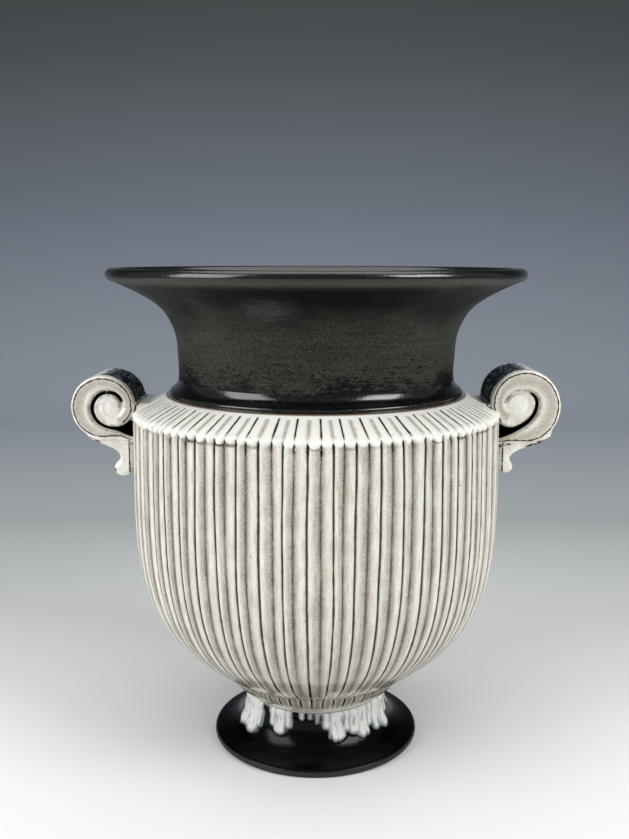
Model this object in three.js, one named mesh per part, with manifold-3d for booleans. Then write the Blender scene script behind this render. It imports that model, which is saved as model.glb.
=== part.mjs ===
// A wide-mouthed, reeded stoneware krater: black flared neck and foot, white glazed
// body with carved reeds, and a rolled scroll handle on each shoulder.
// Millimetres, +Z up. The origin is on the axis, on the surface the foot stands on.
// It is one fired piece, so it is one solid.
import * as THREE from 'three';
import { mergeVertices } from 'three/addons/utils/BufferGeometryUtils.js';
import Module from 'manifold-3d';

const wasm = await Module();
wasm.setup();

// Foot: a turned disc, a short stem and a bead of pooled glaze
const foot = {
  radius: 65.8,
  edgeThickness: 4.6,
  edgeRound: 1.8,
  topSlope: 3,          // rise of the top from its edge to the hollow below the stem
  height: 27,           // floor to the middle of the bead
  stemRadius: 44,
  beadRadius: 46.2,
  beadHeight: 4,
  ringWidth: 15,        // the turned ring that it stands on
  recess: 3,            // depth of the shallow recess inside that ring
};

// Bowl, measured outside over the crests of the reeds
const bowl = {
  wall: 5.6,            // left under the deepest groove
  floorThickness: 9,    // over the bead
  coveRadius: 58.5,     // where the stem's cove meets the belly
  coveHeight: 17,
  coveHandle: 10.2,     // how high the cove's curve is pulled
  bellyHeight: 165.4,   // cove to shoulder edge
  bellyRadius: 112.7,   // at the shoulder edge
  lowReach: 117.3,      // radius and rise of the handle that rounds the bowl out below
  lowRise: 38,
  highReach: 114.6,     // radius and drop of the handle that swells it above
  highDrop: 95.4,
  edgeRound: 2.2,
  shoulderRise: 14,
  shoulderTopRadius: 91.6,
};

// Reeds: every second groove is cut deep, the ones between are light
const reeds = {
  pairs: 55,
  deep: 1.5,
  light: 0.8,
  shoulderShare: 0.55,  // share of that depth left on the shoulder
};

// Neck, from the glossy collar at its root to the lip
const neck = {
  wall: 5.8,
  collarRadius: 90.6,
  collarHeight: 9,
  collarFoot: 1.4,      // height of the collar's upright edge
  radius: 84.4,
  height: 74.6,         // shoulder to the crest of the lip
  rimRadius: 126.6,
  lipThickness: 7.4,
  lipUnder: 50,         // degrees that the lip's round runs under
  lipInner: 162,        // degrees to where it meets the inside
  flareRise: 36,        // handle over the collar, before the neck flares
  flareOut: 38,         // handle in from the lip
  flareDrop: 21.3,      // the same handle, down from the crest
};

// Rolled handles: a strap leaves the wall, rolls up into a scroll and leans on the shoulder
const scroll = {
  length: 43,           // along the roll, front to back
  rise: 4.6,            // centre of the roll over the shoulder edge
  standOff: 35.8,       // outermost point, out from the shoulder edge
  edgeRound: 2.2,
  strap: 4.6,           // thickness of the strap at the wall
  strapLength: 39,      // front to back, a little less than the roll
  tailLength: 34,
  tailDrop: 23,         // strap down to the end of the tail
  tailThickness: 6.2,
  tailCurl: 4.2,        // how far the tail's end curls out
  grooveDepth: 4.5,
  grooveWidth: 2.6,
  webLength: 34,
  webRise: 9.5,         // over the shoulder edge
};

// The two rolls were made by hand and differ. The eye is set in towards the vase, and
// the gap between the turns winds about it, from the hole at the wall to its end.
const leftRoll = {
  side: -1, radius: 19.4, eyeIn: 5.9, eyeUp: 0.6, gapOut: 13, gapIn: 5.2, from: 72, to: 365, hole: 8.4,
};
const rightRoll = {
  side: 1, radius: 21.6, eyeIn: 6.9, eyeUp: 3.6, gapOut: 14.2, gapIn: 4.8, from: 92, to: 330, hole: 8.8,
};

// Facets
const roundSides = 40;
const bellyRings = 6;
const spare = 8;        // how far a cutting shape runs past what it cuts
const sink = 2;         // how far one form runs into the next where they are one clay

// Levels, counted up from the floor
const coveBottom = foot.height + foot.beadHeight / 2;
const bellyBottom = coveBottom + bowl.coveHeight;
const shoulderEdge = bellyBottom + bowl.bellyHeight;
const shoulderTop = shoulderEdge + bowl.shoulderRise;
const neckBottom = shoulderTop + neck.collarHeight;
const crest = shoulderTop + neck.height;

const at = (x, y) => new THREE.Vector2(x, y);

// One outline from single points and curves; each curve comes with its number of steps
function outline(...parts) {
  const points = [];
  for (const part of parts) {
    const next = Array.isArray(part) ? part[0].getPoints(part[1]) : [part];
    for (const point of next) {
      const last = points[points.length - 1];
      if (!last || last.distanceTo(point) > 1e-4) points.push(point);
    }
  }
  return points;
}

const bend = (start, handle, end) => new THREE.QuadraticBezierCurve(start, handle, end);

// A closed geometry as a solid that can be joined and cut
function solid(geometry) {
  const bare = geometry.clone();
  bare.deleteAttribute('normal');
  bare.deleteAttribute('uv');
  const merged = mergeVertices(bare, 1e-3);
  const position = merged.attributes.position.array;
  const faces = [];
  const index = merged.index.array;
  for (let k = 0; k < index.length; k += 3) {
    const [a, b, c] = index.subarray(k, k + 3);
    if (a !== b && b !== c && c !== a) faces.push(a, b, c);
  }
  return new wasm.Manifold(new wasm.Mesh({
    numProp: 3,
    vertProperties: new Float32Array(position),
    triVerts: new Uint32Array(signedVolume(position, faces) < 0 ? faces.reverse() : faces),
  }));
}

function signedVolume(position, faces) {
  const corner = [new THREE.Vector3(), new THREE.Vector3(), new THREE.Vector3()];
  let sum = 0;
  for (let k = 0; k < faces.length; k += 3) {
    corner.forEach((point, j) => point.fromArray(position, 3 * faces[k + j]));
    sum += corner[0].dot(corner[1].cross(corner[2]));
  }
  return sum;
}

// A turned form from an outline of (radius, height), stood up along +Z
function turned(points, sides = roundSides) {
  return new THREE.LatheGeometry(points, sides).rotateX(Math.PI / 2);
}

const belly = new THREE.CubicBezierCurve(
  at(bowl.coveRadius, bellyBottom),
  at(bowl.lowReach, bellyBottom + bowl.lowRise),
  at(bowl.highReach, shoulderEdge - bowl.highDrop),
  at(bowl.bellyRadius, shoulderEdge - bowl.edgeRound),
);

// The bowl, with its reeds cut lengthwise: a deep groove, a crest, a light groove, a crest
function reededBowl() {
  const cove = bend(
    at(foot.stemRadius, coveBottom),
    at(bowl.coveRadius - sink, coveBottom + bowl.coveHandle),
    at(bowl.coveRadius, bellyBottom),
  );
  const profile = outline(
    at(0, coveBottom),
    [cove, 1],
    [belly, bellyRings],
    at(bowl.bellyRadius - bowl.edgeRound, shoulderEdge),
    at(bowl.shoulderTopRadius, shoulderTop),
    at(0, shoulderTop),
  );
  const cuts = [reeds.deep, 0, reeds.light, 0];
  const geometry = turned(profile, reeds.pairs * cuts.length);
  const position = geometry.attributes.position;
  for (let k = 0; k < position.count; k += 1) {
    const column = Math.floor(k / profile.length);
    const { x: radius, y: height } = profile[k % profile.length];
    const share = height > shoulderEdge ? reeds.shoulderShare : radius / bowl.bellyRadius;
    const factor = radius > 0 ? 1 - (cuts[column % cuts.length] * share) / radius : 1;
    position.setXY(k, position.getX(k) * factor, position.getY(k) * factor);
  }
  return solid(geometry);
}

// Foot, stem and bead, running up into the bowl
function footSolid() {
  const ringInside = foot.radius - foot.ringWidth;
  const edge = foot.radius - foot.edgeRound;
  const beadBottom = foot.height - foot.beadHeight / 2;
  return solid(turned(outline(
    at(0, foot.recess),
    at(ringInside - foot.recess, foot.recess),
    at(ringInside, 0),
    [bend(at(edge, 0), at(foot.radius, 0), at(foot.radius, foot.edgeThickness / 2)), 1],
    [bend(
      at(foot.radius, foot.edgeThickness / 2),
      at(foot.radius, foot.edgeThickness),
      at(edge, foot.edgeThickness),
    ), 1],
    [bend(
      at(edge, foot.edgeThickness),
      at(foot.stemRadius, foot.edgeThickness + foot.topSlope),
      at(foot.stemRadius, beadBottom),
    ), 4],
    at(foot.beadRadius, foot.height - foot.beadHeight / 4),
    at(foot.beadRadius, foot.height + foot.beadHeight / 4),
    at(foot.stemRadius, coveBottom + sink),
    at(0, coveBottom + sink),
  )));
}

// The round of the lip, from under its outer side over the crest to the inside
function lipRound() {
  const half = neck.lipThickness / 2;
  return new THREE.EllipseCurve(
    neck.rimRadius - half, crest - half, half, half,
    THREE.MathUtils.degToRad(-neck.lipUnder), THREE.MathUtils.degToRad(neck.lipInner),
  );
}

// Neck with its collar, still full inside: the cavity is cut from all the clay at once
function neckSolid() {
  const root = at(bowl.shoulderTopRadius - bowl.wall, shoulderTop - bowl.wall / 2);
  const collarEdge = at(neck.collarRadius, shoulderTop + neck.collarFoot);
  const lip = lipRound();
  const flare = new THREE.CubicBezierCurve(
    at(neck.radius, neckBottom),
    at(neck.radius, neckBottom + neck.flareRise),
    at(neck.rimRadius - neck.flareOut, crest - neck.flareDrop),
    lip.getPoint(0),
  );
  return solid(turned(outline(
    at(0, root.y),
    root,
    at(neck.collarRadius, shoulderTop - sink / 4),
    [bend(collarEdge, at(neck.radius, shoulderTop + neck.collarHeight / 3), at(neck.radius, neckBottom)), 2],
    [flare, 6],
    [lip, 6],
    at(0, lip.getPoint(1).y),
  )));
}

// Inside of the vessel: floor, bowl, neck and mouth, as one form to cut away
function cavitySolid() {
  const inset = bowl.wall + reeds.deep;
  const floor = coveBottom + bowl.floorThickness;
  const inside = [];
  for (let k = 1; k < bellyRings; k += 1) {
    const along = belly.getTangent(k / bellyRings);
    inside.push(belly.getPoint(k / bellyRings).add(at(-along.y, along.x).multiplyScalar(inset)));
  }
  const underShoulder = at(bowl.bellyRadius - inset, shoulderEdge - inset - bowl.edgeRound);
  const neckInside = neck.radius - neck.wall;
  const lipEnd = lipRound().getPoint(1);
  const flare = new THREE.CubicBezierCurve(
    at(neckInside, neckBottom),
    at(neckInside, neckBottom + neck.flareRise + neck.wall),
    at(neck.rimRadius - neck.flareOut - neck.wall / 2, crest - neck.flareDrop + neck.wall),
    lipEnd,
  );
  return solid(turned(outline(
    at(0, floor),
    [bend(at(foot.stemRadius / 2, floor), at(foot.stemRadius, floor), inside[0]), 3],
    ...inside,
    [bend(underShoulder, at(underShoulder.x, shoulderEdge - inset), at(neckInside, shoulderTop - inset)), 1],
    [flare, 6],
    at(lipEnd.x, crest + spare),
    at(0, crest + spare),
  )));
}

// A flat outline (across, up) given a length front to back, centred on the vase
function slab(points, length, round = 0) {
  const geometry = new THREE.ExtrudeGeometry(new THREE.Shape(points), {
    depth: length - 2 * round,
    bevelEnabled: round > 0,
    bevelThickness: round,
    bevelSize: round,
    bevelOffset: -round,
    bevelSegments: 1,
  });
  return solid(geometry.rotateX(Math.PI / 2).translate(0, length / 2 - round, 0));
}

// The gap between the turns of a roll, from one share of its winding to another
function gapPoints(roll, eye, from, to, steps) {
  const sides = [[], []];
  for (let k = 0; k <= steps; k += 1) {
    const share = THREE.MathUtils.lerp(from, to, k / steps);
    const angle = THREE.MathUtils.degToRad(THREE.MathUtils.lerp(roll.from, roll.to, share));
    const radius = roll.gapIn + (roll.gapOut - roll.gapIn) * (1 - share ** 1.7);
    const half = (scroll.grooveWidth / 2) * (1 - share / 2);
    sides.forEach((side, j) => {
      const reach = radius + (j ? -half : half);
      side.push(at(eye.x - reach * Math.cos(angle), eye.y - reach * Math.sin(angle)));
    });
  }
  return [...sides[0], ...sides[1].reverse()];
}

function handle(roll) {
  const centre = at(bowl.bellyRadius + scroll.standOff - roll.radius, shoulderEdge + scroll.rise);
  const eye = at(centre.x - roll.eyeIn, centre.y + roll.eyeUp);
  const inWall = bowl.bellyRadius - bowl.wall;
  const rollCurve = new THREE.EllipseCurve(centre.x, centre.y, roll.radius, roll.radius);
  const under = centre.y - roll.radius + scroll.edgeRound;
  let clay = slab(outline([rollCurve, 24]).slice(0, -1), scroll.length, scroll.edgeRound);

  // Strap from the wall out to the underside of the roll
  clay = clay.add(slab([
    at(inWall, under + scroll.strap + 2 * sink),
    at(inWall, under - sink),
    at(centre.x, under - sink),
    at(centre.x, under + scroll.strap + 2 * sink),
  ], scroll.strapLength));

  // Tail down the wall, curling out at its end
  const waist = bowl.bellyRadius + scroll.tailThickness;
  const end = under - scroll.tailDrop;
  const curl = at(waist + scroll.tailCurl, end + scroll.tailCurl);
  clay = clay.add(slab(outline(
    at(inWall, under),
    at(inWall, end + scroll.tailCurl),
    [bend(at(bowl.bellyRadius, end + sink / 2), at(curl.x, end - sink / 2), curl), 3],
    [bend(curl, at(curl.x, end + 2 * scroll.tailCurl), at(waist, end + 2.5 * scroll.tailCurl)), 2],
    [bend(at(waist, end + 3 * scroll.tailCurl), at(waist, under - sink), at(centre.x, under - sink)), 4],
    at(centre.x, under),
  ), scroll.tailLength));

  // Web of clay that joins the roll to the shoulder
  const onRoll = at(centre.x - roll.radius * Math.cos(0.7), centre.y + roll.radius * Math.sin(0.7));
  const onShoulder = at((bowl.shoulderTopRadius + bowl.bellyRadius) / 2 - sink, shoulderEdge + scroll.webRise);
  clay = clay.add(slab(outline(
    at(centre.x - roll.radius / 2, onRoll.y),
    [bend(onRoll, at(onRoll.x - sink, onShoulder.y), onShoulder), 3],
    at(inWall, under + scroll.strap),
    at(eye.x, under + scroll.strap),
  ), scroll.webLength));

  // Gap between the turns: right through at the wall, a groove in both faces further in
  const holeEnd = gapPoints(roll, eye, 0, 0.12, 1);
  const hole = slab([
    at(inWall - sink, under + scroll.strap),
    holeEnd[0],
    holeEnd[1],
    holeEnd[2],
    holeEnd[3],
    at(inWall - sink, under + scroll.strap + roll.hole),
  ], scroll.length + spare);
  const cutLength = scroll.grooveDepth + spare;
  const shift = (scroll.length + spare - scroll.grooveDepth) / 2;
  const groove = slab(gapPoints(roll, eye, 0.08, 1, 9), cutLength);
  clay = clay.subtract(hole)
    .subtract(groove.translate([0, -shift, 0]))
    .subtract(groove.translate([0, shift, 0]));

  return roll.side < 0 ? clay.rotate([0, 0, 180]) : clay;
}

function namedMesh(clay, name, material) {
  const { vertProperties, triVerts } = clay.getMesh();
  const geometry = new THREE.BufferGeometry();
  geometry.setAttribute('position', new THREE.BufferAttribute(vertProperties, 3));
  geometry.setIndex(new THREE.BufferAttribute(triVerts, 1));
  const mesh = new THREE.Mesh(geometry, material);
  mesh.name = name;
  return mesh;
}

// All the clay is joined first and hollowed last, so nothing is left standing inside
const vase = reededBowl()
  .add(footSolid())
  .add(neckSolid())
  .add(handle(leftRoll))
  .add(handle(rightRoll))
  .subtract(cavitySolid());

const glaze = new THREE.MeshStandardMaterial({ color: 0xd9d7d2, roughness: 0.25, metalness: 0 });
const krater = new THREE.Group();
krater.add(namedMesh(vase, 'krater_vase', glaze));

export default krater;
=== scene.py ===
# A reeded stoneware krater: black flared neck and foot, white glaze over dark clay on
# the reeded bowl, and a rolled scroll handle on each shoulder. Sizes are millimetres
# and become metres where a mesh is made. The front of the vase faces -Y.
import math

import bpy
import numpy as np
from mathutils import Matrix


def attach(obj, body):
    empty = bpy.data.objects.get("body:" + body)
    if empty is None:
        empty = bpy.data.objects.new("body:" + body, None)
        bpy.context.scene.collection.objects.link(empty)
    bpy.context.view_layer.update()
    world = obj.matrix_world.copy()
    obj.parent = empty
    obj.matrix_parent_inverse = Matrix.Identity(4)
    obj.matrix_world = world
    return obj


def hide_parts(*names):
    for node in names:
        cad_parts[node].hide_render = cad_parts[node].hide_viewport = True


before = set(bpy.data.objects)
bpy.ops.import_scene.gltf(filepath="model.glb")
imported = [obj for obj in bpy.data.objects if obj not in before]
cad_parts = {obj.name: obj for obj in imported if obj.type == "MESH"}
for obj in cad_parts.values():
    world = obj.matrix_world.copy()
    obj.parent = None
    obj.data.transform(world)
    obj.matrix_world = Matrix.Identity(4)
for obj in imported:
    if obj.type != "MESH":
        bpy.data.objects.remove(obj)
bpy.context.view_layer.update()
mm = 0.001
rng = np.random.default_rng(11)
print("stage: the fixed frame is in")


def selectNothing():
    if bpy.context.object and bpy.context.object.mode != "OBJECT":
        bpy.ops.object.mode_set(mode="OBJECT")
    bpy.ops.object.select_all(action="DESELECT")


def selectOnly(*objs):
    selectNothing()
    for ob in objs:
        ob.select_set(True)
    bpy.context.view_layer.objects.active = objs[0]


def getPoints(ob):
    co = np.empty(len(ob.data.vertices) * 3)
    ob.data.vertices.foreach_get("co", co)
    return co.reshape(-1, 3)


def setPoints(ob, co):
    ob.data.vertices.foreach_set("co", np.asarray(co, dtype=float).ravel())
    ob.data.update()


def smooth(a, b, x):
    t = np.clip((np.asarray(x, dtype=float) - a) / (b - a), 0, 1)
    return t * t * (3 - 2 * t)


# A curve through its handles, as a list of (radius, height); the start is left out
def curveSteps(handles, steps, ease=1.0):
    out = []
    for k in range(1, steps + 1):
        t = (k / steps) ** ease
        level = [np.array(h, dtype=float) for h in handles]
        while len(level) > 1:
            level = [a * (1 - t) + b * t for a, b in zip(level, level[1:])]
        out.append(tuple(level[0]))
    return out


# Turns a profile of (radius, height) on the wheel: drawn point by point, then spun
def turn(name, profile, steps):
    selectNothing()
    bpy.ops.mesh.primitive_plane_add(size=mm, location=(0, 0, 0))
    ob = bpy.context.object
    ob.name = ob.data.name = name
    while ob.data.uv_layers:
        ob.data.uv_layers.remove(ob.data.uv_layers[0])
    bpy.ops.object.mode_set(mode="EDIT")
    bpy.ops.mesh.select_all(action="SELECT")
    bpy.ops.mesh.merge(type="CENTER")
    last = (0.0, 0.0)
    for k, (radius, height) in enumerate(profile):
        step = ((radius - last[0]) * mm, 0, (height - last[1]) * mm)
        if k:
            bpy.ops.mesh.extrude_region_move(TRANSFORM_OT_translate={"value": step})
        else:
            bpy.ops.transform.translate(value=step)
        last = (radius, height)
    bpy.ops.mesh.select_all(action="SELECT")
    bpy.ops.mesh.spin(steps=steps, angle=2 * math.pi, center=(0, 0, 0), axis=(0, 0, 1))
    bpy.ops.mesh.select_all(action="SELECT")
    bpy.ops.mesh.remove_doubles(threshold=1e-6)
    bpy.ops.object.mode_set(mode="OBJECT")
    return ob


# Which column and which profile point each vertex of a turned piece belongs to
def columnAndRing(ob, profile, steps):
    co = getPoints(ob) / mm
    angle = np.degrees(np.arctan2(co[:, 0], -co[:, 1])) % 360
    column = np.rint(angle / 360 * steps).astype(int) % steps
    flat = np.column_stack([np.hypot(co[:, 0], co[:, 1]), co[:, 2]])
    shape = np.array(profile)
    ring = np.empty(len(flat), dtype=int)
    for k in range(0, len(flat), 20000):
        part = flat[k:k + 20000]
        ring[k:k + 20000] = ((part[:, None, :] - shape[None]) ** 2).sum(axis=2).argmin(axis=1)
    return column, ring, angle


# A map that the glaze follows: across round the piece, up along the profile
def drawGlazeMap(ob, across, up, wholeTurn):
    mesh = ob.data
    corner = np.empty(len(mesh.loops), dtype=int)
    mesh.loops.foreach_get("vertex_index", corner)
    start = np.empty(len(mesh.polygons), dtype=int)
    mesh.polygons.foreach_get("loop_start", start)
    u, v = np.asarray(across)[corner], np.asarray(up)[corner]
    most = np.repeat(np.maximum.reduceat(u, start), np.diff(np.append(start, len(u))))
    u = np.where(most - u > wholeTurn / 2, u + wholeTurn, u)
    mesh.uv_layers.new(name="glazeMap").data.foreach_set("uv", np.column_stack([u, v]).ravel())


# Outward direction and length run along a profile
def profileNormals(profile):
    p = np.array(profile)
    along = np.gradient(p, axis=0)
    along /= np.linalg.norm(along, axis=1)[:, None] + 1e-9
    run = np.concatenate([[0], np.cumsum(np.linalg.norm(np.diff(p, axis=0), axis=1))])
    return np.column_stack([along[:, 1], -along[:, 0]]), run


# Bowl with its reeds
bowl = {
    "pairs": 55,              # a deep groove and a light one in each
    "frontTurn": -2.3,        # degrees from the front to the nearest deep groove
    "deep": 1.5,
    "light": 0.75,
    "shoulderDeep": 0.75,
    "wander": 0.3,            # degrees that a groove strays from its place
    "uneven": 0.34,           # degrees that grooves are set off from even spacing
    "edge": 214.2,            # height of the shoulder's edge
    "shoulderTop": (91.1, 224.3),
    "collarJoint": (90.7, 224.25),
}
reedSteps = (0.0, 0.075, 0.25, 0.5, 0.75, 0.925)     # columns across one reed

bowlProfile = [(44.3, 31.2)]
bowlProfile += curveSteps([(44.3, 31.2), (56.2, 39.6), (58.5, 46)], 9)
bowlProfile += curveSteps([(58.5, 46), (117.3, 84), (114.6, 116), (112.75, bowl["edge"] - 6)], 50)
# the wall turns over at the edge: radius, and height from the edge
bowlProfile += [(radius, bowl["edge"] + up) for radius, up in (
    (112.7, -5.2), (112.6, -4.3), (112.55, -3.5), (112.65, -2.8), (112.85, -2.1), (112.9, -1.4),
    (112.7, -0.7), (112.2, -0.1), (111.4, 0.45), (110.3, 1.05), (108.9, 1.75), (107.2, 2.5))]
bowlProfile += curveSteps([bowlProfile[-1], (99.4, 220.6), bowl["shoulderTop"]], 9)
bowlSteps = bowl["pairs"] * 2 * len(reedSteps)

kraterBowl = turn("kraterBowl", bowlProfile, bowlSteps)
column, ring, angle = columnAndRing(kraterBowl, bowlProfile, bowlSteps)
outward, run = profileNormals(bowlProfile)
shape = np.array(bowlProfile)
radius, height = shape[ring, 0], shape[ring, 1]
line = column // len(reedSteps)
across = np.array(reedSteps)[column % len(reedSteps)]
place = line + across                                   # counted in grooves round the bowl

# Each groove strays a little as it comes down, as a hand-held tool does
lineCount = bowl["pairs"] * 2
setOff = rng.normal(0, bowl["uneven"], lineCount)
phase = rng.uniform(0, 2 * math.pi, (lineCount, 3))
pace = rng.uniform(0.7, 1.3, (lineCount, 3))


def strayOf(k, z):
    k = k % lineCount
    away = setOff[k].copy()
    for j, (waves, share) in enumerate(((55, 0.3), (110, 0.6), (23, 0.14))):
        away += bowl["wander"] * share * np.sin(z / waves * 2 * math.pi * pace[k, j] / 2 + phase[k, j])
    return away * smooth(30, 60, z)


stray = strayOf(line, height) * (1 - across) + strayOf(line + 1, height) * across
turnTo = np.radians(place * 360 / lineCount + bowl["frontTurn"] + stray)

# How deep the clay is cut at each point
toLine = np.minimum(across, 1 - across)
isDeep = np.where(across < 0.5, line % 2 == 0, (line + 1) % 2 == 0)
vee = np.interp(toLine, [0, 0.075, 0.25, 0.5], [1, 0.5, 0.12, 0])
soft = np.interp(toLine, [0, 0.075, 0.25, 0.5], [1, 0.82, 0.36, 0])
onBelly = np.where(isDeep, bowl["deep"] * vee, bowl["light"] * (0.5 * vee + 0.5 * soft))
onShoulder = bowl["shoulderDeep"] * np.where(isDeep, 0.6 * soft, vee)
belly = np.clip(radius / 112.7, 0.4, 1) * smooth(44, 100, height)
fromEdge = height - bowl["edge"]
over = smooth(-0.2, 1.6, fromEdge)
top = 1 - smooth(-2.2, -0.5, height - bowl["shoulderTop"][1])
cut = onBelly * belly * (1 - over) + onShoulder * over * top
# rounded reed ends stand over the belly like a row of fingertips, with a pit at every groove
endSize = rng.uniform(0.25, 1.35, lineCount)[line % lineCount]
endDrop = rng.normal(0, 0.55, lineCount)[line % lineCount]
lean = rng.uniform(-0.16, 0.16, lineCount)[line % lineCount] * np.sin(across * math.pi)
leaned = np.minimum(np.clip(across + lean, 0, 1), 1 - np.clip(across + lean, 0, 1))
fingertip = np.interp(leaned, [0, 0.075, 0.25, 0.5], [-1.0, -0.5, 0.45, 0.75])
lipBand = np.exp(-((fromEdge + 1.4 + endDrop) / 1.3) ** 2) * np.where(fingertip > 0, endSize, 1)
pitBand = np.exp(-((fromEdge + 3.5) / 1.0) ** 2)
cut = cut - lipBand * fingertip + pitBand * 0.8 * vee
hang = np.exp(-((fromEdge + 2.1) / 1.3) ** 2) * np.interp(leaned, [0, 0.2, 0.5], [-0.6, 0.5, 1.0]) * endSize
hang += np.exp(-((fromEdge + 1.6) / 2.2) ** 2) * endDrop
# slow swell of a hand-thrown wall
swell = 0.25 * np.sin(turnTo * 2 + 0.6) * np.sin(height / 60) + 0.12 * np.sin(turnTo * 5 + height / 37)
cut = cut - swell * smooth(40, 80, height) * (1 - smooth(180, 205, height))
r = radius - cut * outward[ring, 0]
z = height - cut * outward[ring, 1] - hang
setPoints(kraterBowl, np.column_stack([r * np.sin(turnTo), -r * np.cos(turnTo), z]) * mm)

drawGlazeMap(kraterBowl, place, run[ring], lineCount)
# where the shoulder starts and ends on the glaze map
edgeRun = float(np.interp(bowl["edge"] - 2.5, shape[:, 1], run))
topRun = float(run[-1])
print("stage: bowl turned and reeded,", len(kraterBowl.data.polygons), "faces")

# Neck, lip and the inside, turned in one pull
neck = {
    "steps": 220,
    "lipCentre": (122.7, 296.25),
    "lipHalf": 3.7,
    "glossAbove": 294,        # the wet black: the lip, and the collar out to its radius
    "glossBelow": 234,
    "collarRadius": 83.5,
}
lipRound = [(neck["lipCentre"][0] + neck["lipHalf"] * math.cos(math.radians(a)),
             neck["lipCentre"][1] + neck["lipHalf"] * math.sin(math.radians(a))) for a in range(-50, 163, 16)]
neckProfile = [(90.3, 224.2), (89.7, 224.2), (89.3, 224.5), (89.5, 224.9), (90.0, 225.2),
               (90.25, 225.7), (90.1, 226.3), (89.6, 226.9), (88.9, 227.5)]
neckProfile += curveSteps([(88.9, 227.5), (86.4, 229.2), (84.5, 231.2), (84.4, 236.6)], 9)
neckProfile += curveSteps([(84.4, 236.6), (84.4, 270.4), (88.6, 278.7), lipRound[0]], 24)
neckProfile += lipRound[1:]
neckProfile += curveSteps([lipRound[-1], (85.7, 284.5), (78.6, 276.2), (78.6, 234.4)], 16)
neckProfile += curveSteps([(78.6, 234.4), (78.6, 224.0), (84, 217.6), (105.6, 201.0)], 8)
neckProfile += curveSteps([(105.6, 201.0), (107.5, 112), (104, 84), (55, 49.5)], 16)
neckProfile += curveSteps([(55, 49.5), (42, 39.5), (10, 38), (0, 38)], 6)
kraterNeck = turn("kraterNeck", neckProfile, neck["steps"])
column, ring, angle = columnAndRing(kraterNeck, neckProfile, neck["steps"])
co = getPoints(kraterNeck) / mm
rr = np.hypot(co[:, 0], co[:, 1])
wave = 0.16 * np.sin(co[:, 2] / 3.1) * smooth(236, 246, co[:, 2]) * (1 - smooth(275, 288, co[:, 2]))
swing = 0.25 * np.sin(np.radians(angle) * 3 + 1.1)
wave += swing * smooth(228, 260, co[:, 2]) * (1 - smooth(285, 298, co[:, 2]))
scale = np.where(rr > 1, (rr - wave) / np.maximum(rr, 1), 1)
co[:, 0] *= scale
co[:, 1] *= scale
setPoints(kraterNeck, co * mm)
print("stage: neck turned,", len(kraterNeck.data.polygons), "faces")

# Foot, with the white glaze that ran down over it
foot = {
    "steps": 330,
    # each run of glaze: middle and half width in degrees, how low it comes, how thick it stands
    "runs": [(-86, 9, 15, 1.1), (-72, 9, 9.8, 1.4), (-58, 9, 9.6, 1.7), (-50, 4, 14, 1.0),
             (-36, 4.2, 18, 1.0), (-29, 6.4, 14.5, 1.5), (-22, 4, 19, 0.9), (-11, 2.8, 25.4, 0.6),
             (-4, 2.2, 26, 0.6), (1.5, 2.6, 23, 0.6), (9, 4.4, 19.5, 1.0), (17, 7.4, 12.6, 2.0),
             (25, 4.6, 17, 1.2), (32, 6, 14.5, 1.2), (40, 6.6, 11.4, 1.5), (48, 4.4, 15.5, 1.1),
             (56, 7, 11.8, 1.4), (66, 6.6, 10.2, 1.4), (76, 6, 15, 1.1)],
    "joint": (44.32, 30.9),   # where the bowl sits on the foot
    "behind": 17,             # more runs, spread unevenly over the back
}
for k in range(foot["behind"]):
    foot["runs"].append((84 + k * 11 + rng.uniform(-2.5, 2.5), rng.uniform(3.2, 6.0), rng.uniform(10, 24),
                         rng.uniform(0.9, 1.5)))
footProfile = [(0, 3.0), (24, 3.0), (46.8, 3.0), (48.4, 2.4), (50.0, 0.5), (51.2, 0.0), (57, 0.0),
               (63.6, 0.0)]
footProfile += curveSteps([(63.6, 0.0), (65.8, 0.0), (65.8, 2.3)], 4)
footProfile += curveSteps([(65.8, 2.3), (65.8, 4.7), (63.4, 4.8)], 4)
footProfile += curveSteps([(63.4, 4.8), (44.6, 7.2), (44.0, 25.2)], 22, 0.85)
footProfile += [(44.2, 26.2), (44.6, 27.0), (44.9, 27.8), (45.0, 28.6), (44.9, 29.4), (44.6, 30.1),
                (44.35, 30.6)]
kraterFoot = turn("kraterFoot", footProfile, foot["steps"])
column, ring, angle = columnAndRing(kraterFoot, footProfile, foot["steps"])
outward, run = profileNormals(footProfile)
shape = np.array(footProfile)
height = shape[ring, 1]
# signed distance into the white: above a run's rounded end, and between its sides
inWhite = np.full(len(ring), -6.0)
rise = np.zeros(len(ring))
footRun = run[ring]
for middle, half, low, thick in foot["runs"]:
    away = (angle - middle + 180) % 360 - 180
    side = np.radians(half - np.abs(away)) * 46                     # mm in from the side
    lowRun = float(np.interp(low, shape[8:, 1], run[8:]))
    up = footRun - lowRun
    halfWidth = math.radians(half) * 46
    inset = np.clip(halfWidth - side, 0, None)
    ledge = up - halfWidth * 0.55 * (inset / halfWidth) ** 2.2      # rounded end
    d = np.minimum(side, ledge)
    d = np.where(up < -6, -6, d)
    inWhite = np.maximum(inWhite, d)
    rise = np.maximum(rise, thick * smooth(-0.2, 1.8, d))
ringBand = height - 30.2 + 0.7 * np.sin(np.radians(angle) * 9 + 1.0) + 0.5 * np.sin(np.radians(angle) * 23)
inWhite = np.maximum(inWhite, ringBand)
rise = rise * (1 - smooth(25.5, 30.5, height)) * smooth(6.0, 8.0, height)
co = getPoints(kraterFoot) / mm
rr = np.hypot(co[:, 0], co[:, 1])
push = rise * np.where(rr > 40, 1, 0)
grow = np.where(rr > 1, (rr + push * outward[ring, 0]) / np.maximum(rr, 1), 1)
co[:, 0] *= grow
co[:, 1] *= grow
co[:, 2] += push * outward[ring, 1]
setPoints(kraterFoot, co * mm)
drawGlazeMap(kraterFoot, angle / 360 * 290, footRun, 290)
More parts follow.
